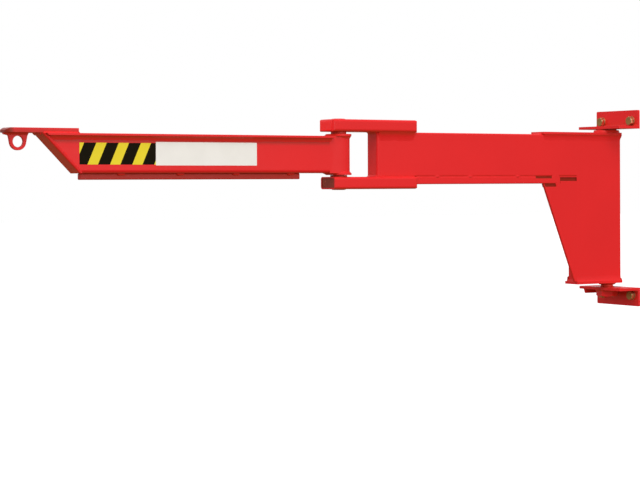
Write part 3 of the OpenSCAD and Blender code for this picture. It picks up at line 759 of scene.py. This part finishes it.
def bolt(name, y, z, turn):
    """M16 hexagon bolt with a washer, its head on the leg of the bracket."""
    x = lb_face
    axis, u = X_OUT, UP
    o = V(x, y, z)
    # washer, slightly dished at its rims
    prof = [(0.0087, 0.0), (0.0136, 0.0), (0.0140, 0.0004), (0.0140, 0.0021), (0.0136, 0.0025), (0.0091, 0.0025), (0.0087, 0.0021), (0.0087, 0.0)]
    n = 56
    vv = axis.cross(u)
    verts, faces = [], []
    for r, h in prof[:-1]:
        for i in range(n):
            a = 2 * math.pi * i / n
            verts.append(o + axis * h + (u * math.cos(a) + vv * math.sin(a)) * r)
    m = len(prof) - 1
    for k in range(m):
        q = (k + 1) % m
        for i in range(n):
            j = (i + 1) % n
            faces.append((k * n + i, k * n + j, q * n + j, q * n + i))
    piece(name + "_washer", verts, faces, zinc, WALL, 35)
    # head: hexagon cut by a 30 degree chamfer cone, on a thin round bearing face
    bm = bmesh.new()
    af, hh, base = 0.012, 0.010, 0.0031
    rows = []
    n = 72
    for h_ in (0.0, 0.0006):
        rows.append([(0.0112, h_)] * n)

    def hex_r(a):
        a = (a + math.pi / 6) % (math.pi / 3) - math.pi / 6
        return af / math.cos(a)

    levels = [0.0006, 0.0012] + [0.0012 + (hh - 0.0012) * k / 8 for k in range(1, 9)]
    for k, h_ in enumerate(levels):
        ring = []
        for i in range(n):
            a = 2 * math.pi * i / n
            r = hex_r(a)
            if k == 0:
                r = min(r, 0.0120)
            # the cone leaves the flats whole and cuts the corners
            cone = 0.0121 + (hh - h_) / math.tan(math.radians(30)) * 1.0
            low = 0.0124 + h_ / math.tan(math.radians(30))
            ring.append((min(r, cone, low) if k else min(r, 0.0120), h_))
        rows.append(ring)
    rows.append([(0.0113, hh)] * n)
    rows.append([(0.0108, hh + 0.0001)] * n)
    rows.append([(0.0080, hh - 0.0002)] * n)
    verts, faces = [], []
    for row in rows:
        for i, (r, h_) in enumerate(row):
            a = 2 * math.pi * i / n + turn
            verts.append(o + axis * (0.0025 + h_) + (u * math.cos(a) + vv * math.sin(a)) * r)
    for k in range(len(rows) - 1):
        for i in range(n):
            j = (i + 1) % n
            faces.append((k * n + i, k * n + j, (k + 1) * n + j, (k + 1) * n + i))
    faces.append(tuple(range(n)))
    faces.append(tuple((len(rows) - 1) * n + i for i in range(n)))
    piece(name + "_head", verts, faces, zinc, WALL, 24)
    # shank, threaded toward the wall
    prof = [(0.0079, 0.0028), (0.0080, -0.0002)]
    k = 0
    h_ = -0.0008
    while h_ > -0.0072:
        prof.append((0.0069 if k % 2 else 0.0079, h_))
        h_ -= 0.0008
        k += 1
    prof.append((0.0066, -0.0076))
    verts, faces = lathe(prof, o, axis, u, 40)
    piece(name + "_shank", verts, faces, zinc, WALL, 30)
    bm.free()


lb_face = -8.0 * MM
pitch_y = 0.065
bolts_mount = [m for m in frame["record"]["mounts"] if m["name"] == "wall_bolts"][0]
zc_low = bolts_mount["pos_m"][2] - bolts_mount["dims"]["spacing_y_mm"] * MM / 2
zc_up = bolts_mount["pos_m"][2] + bolts_mount["dims"]["spacing_y_mm"] * MM / 2
for nm, y, z, turn in (("bolt_low_near", -pitch_y, zc_low, 0.35), ("bolt_low_far", pitch_y, zc_low, 0.1),
                       ("bolt_up_near", -pitch_y, zc_up, 0.52), ("bolt_up_far", pitch_y, zc_up, 0.2)):
    bolt(nm, y, z, turn)


# ----------------------------------------------------------------- decals
def clip(poly, z0, z1, s0, s1):
    """A polygon in (s, z) cut to a rectangle."""
    def cut(pts, inside, cross):
        out = []
        for i, p in enumerate(pts):
            q = pts[i - 1]
            if inside(p):
                if not inside(q):
                    out.append(cross(q, p))
                out.append(p)
            elif inside(q):
                out.append(cross(q, p))
        return out

    def at(axis, v):
        def f(a, b):
            t = (v - a[axis]) / (b[axis] - a[axis])
            return (a[0] + (b[0] - a[0]) * t, a[1] + (b[1] - a[1]) * t)
        return f

    for axis, v, keep in ((0, s0, 1), (0, s1, -1), (1, z0, 1), (1, z1, -1)):
        if not poly:
            break
        poly = cut(poly, lambda p: (p[axis] - v) * keep >= 0, at(axis, v))
    return poly


def sheet_piece(name, poly, y, d, t0, t1, mat):
    """A thin sheet with that outline in (s, z), from t0 to t1 mm off the side of the box."""
    n = len(poly)
    verts, faces = [], []
    for t in (t0, t1):
        for s, z in poly:
            verts.append(P(s, y / MM + d.y * t, z))
    faces.append(tuple(range(n)))
    faces.append(tuple(range(n, 2 * n)))
    for i in range(n):
        j = (i + 1) % n
        faces.append((i, j, n + j, n + i))
    return piece(name, verts, faces, mat, OUT_ARM, 30)


def rounded(s0, s1, z0, z1, r, n=5):
    pts = []
    for cs, cz, a0 in ((s1 - r, z1 - r, 0), (s0 + r, z1 - r, 90), (s0 + r, z0 + r, 180), (s1 - r, z0 + r, 270)):
        for i in range(n + 1):
            a = math.radians(a0 + 90 * i / n)
            pts.append((cs + r * math.cos(a), cz + r * math.sin(a)))
    return pts


D_S0, D_S1, D_Z0, D_Z1 = 1517.4, 1729.0, 388.5, 443.0
W_S0, W_S1, W_Z0, W_Z1 = 1221.1, 1517.2, 386.5, 446.0
for side, y, d in (("near", ob_lo.y, NEAR), ("far", ob_hi.y, FAR)):
    sheet_piece("stripe_ground_" + side, rounded(D_S0, D_S1, D_Z0, D_Z1, 1.0), y, d, -0.1, 0.16, v_black)
    sheet_piece("plain_panel_" + side, rounded(W_S0, W_S1, W_Z0, W_Z1, 1.5), y, d, -0.1, 0.18, v_white)
    # stripes: width and pitch along s, leaning over their height
    lean, wide, pitch = 54.5 * 0.45, 28.6, 61.8
    for k in range(6):
        s = 1617.1 + pitch * 2 - pitch * k
        poly = [(s, D_Z0), (s + wide, D_Z0), (s + wide - lean, D_Z1), (s - lean, D_Z1)]
        poly = clip(poly, D_Z0, D_Z1, D_S0, D_S1)
        if len(poly) > 2:
            sheet_piece("stripe_%s_%d" % (side, k), poly, y, d, 0.10, 0.24, v_yellow)

# ------------------------------------------------------------ floor, light
floor_z = -1.15
me = bpy.data.meshes.new("floor")
R = 60.0
me.from_pydata([(-R, -R, floor_z), (R, -R, floor_z), (R, R, floor_z), (-R, R, floor_z)], [], [(0, 1, 2, 3)])
floor = bpy.data.objects.new("floor", me)
scene.collection.objects.link(floor)
fm, ft, fb = fresh("pale_floor")
fv = coord(ft)
ft.links.new(mix(ft, remap(ft, noise(ft, fv, 1.2, 3.0), 0.3, 0.7, 0.0, 1.0), (0.93, 0.93, 0.93), (0.91, 0.91, 0.91)), fb.inputs["Base Color"])
fb.inputs["Roughness"].default_value = 0.85
fb.inputs["Specular IOR Level"].default_value = 0.1
fb.inputs["Emission Color"].default_value = (1, 1, 1, 1)
fb.inputs["Emission Strength"].default_value = 0.42
me.materials.append(fm)
floor.visible_diffuse = False
floor.visible_glossy = False

world = bpy.data.worlds.new("studio")
scene.world = world
world.use_nodes = True
wt = world.node_tree
for n in list(wt.nodes):
    wt.nodes.remove(n)
w_out = wt.nodes.new("ShaderNodeOutputWorld")
bg_cam = wt.nodes.new("ShaderNodeBackground")
bg_cam.inputs["Color"].default_value = (1, 1, 1, 1)
bg_cam.inputs["Strength"].default_value = 1.0
bg_lit = wt.nodes.new("ShaderNodeBackground")
bg_lit.inputs["Strength"].default_value = 1.0
tc = wt.nodes.new("ShaderNodeTexCoord")
sep = wt.nodes.new("ShaderNodeSeparateXYZ")
wt.links.new(tc.outputs["Generated"], sep.inputs[0])
up_f = wt.nodes.new("ShaderNodeMapRange")
up_f.interpolation_type = "SMOOTHSTEP"
up_f.inputs["From Min"].default_value = -0.28
up_f.inputs["From Max"].default_value = 0.22
wt.links.new(sep.outputs["Z"], up_f.inputs["Value"])
left_f = wt.nodes.new("ShaderNodeMapRange")
left_f.interpolation_type = "SMOOTHSTEP"
left_f.inputs["From Min"].default_value = 0.1
left_f.inputs["From Max"].default_value = -0.9
wt.links.new(sep.outputs["X"], left_f.inputs["Value"])
m1 = wt.nodes.new("ShaderNodeMix")
m1.data_type = "RGBA"
m1.inputs[6].default_value = (0.34, 0.25, 0.13, 1)
m1.inputs[7].default_value = (0.84, 0.84, 0.86, 1)
wt.links.new(up_f.outputs["Result"], m1.inputs[0])
m2 = wt.nodes.new("ShaderNodeMix")
m2.data_type = "RGBA"
m2.blend_type = "MULTIPLY"
wt.links.new(m1.outputs[2], m2.inputs[6])
m2.inputs[7].default_value = (1.0, 1.0, 1.0, 1)
wt.links.new(left_f.outputs["Result"], m2.inputs[0])
wt.links.new(m2.outputs[2], bg_lit.inputs["Color"])
lp = wt.nodes.new("ShaderNodeLightPath")
ms = wt.nodes.new("ShaderNodeMixShader")
wt.links.new(lp.outputs["Is Camera Ray"], ms.inputs[0])
wt.links.new(bg_lit.outputs[0], ms.inputs[1])
wt.links.new(bg_cam.outputs[0], ms.inputs[2])
wt.links.new(ms.outputs[0], w_out.inputs[0])


def area(name, loc, target, size, power, color=(1, 1, 1)):
    l = bpy.data.lights.new(name, "AREA")
    l.shape = "RECTANGLE"
    l.size, l.size_y = size
    l.energy = power
    l.color = color
    o = bpy.data.objects.new(name, l)
    o.location = loc
    d = Vector(target) - Vector(loc)
    o.rotation_mode = "QUATERNION"
    o.rotation_quaternion = d.to_track_quat("-Z", "Y")
    scene.collection.objects.link(o)
    return o


area("top_softbox", (-2.2, -1.9, 3.9), (-0.9, 0, 0.35), (3.4, 2.2), 76)
area("front_softbox", (-0.2, -5.6, 1.3), (-0.9, 0, 0.35), (4.2, 2.4), 96)

# ---------------------------------------------------------------- camera
cam_data = bpy.data.cameras.new("camera")
cam = bpy.data.objects.new("camera", cam_data)
scene.collection.objects.link(cam)
al, roll = math.radians(32.243), math.radians(0.218)
R_ = Vector((math.cos(al), -math.sin(al), 0))
D_ = Vector((math.sin(al), math.cos(al), 0))
U_ = Vector((0, 0, 1))
right = R_ * math.cos(roll) - U_ * math.sin(roll)
up = R_ * math.sin(roll) + U_ * math.cos(roll)
cam.matrix_world = Matrix.Translation((-(3.7085 + OFF * MM), -4.2807, 0.3444)) @ Matrix(
    ((right.x, up.x, -D_.x), (right.y, up.y, -D_.y), (right.z, up.z, -D_.z))).to_4x4()
cam_data.sensor_width = 36.0
cam_data.lens = 1881.6 / 640 * 36.0
cam_data.shift_x = 0.0
cam_data.shift_y = -(244.5 - 181.405) / 640
cam_data.clip_start, cam_data.clip_end = 0.05, 200
scene.camera = cam
scene.view_settings.view_transform = "Standard"
scene.view_settings.look = "None"
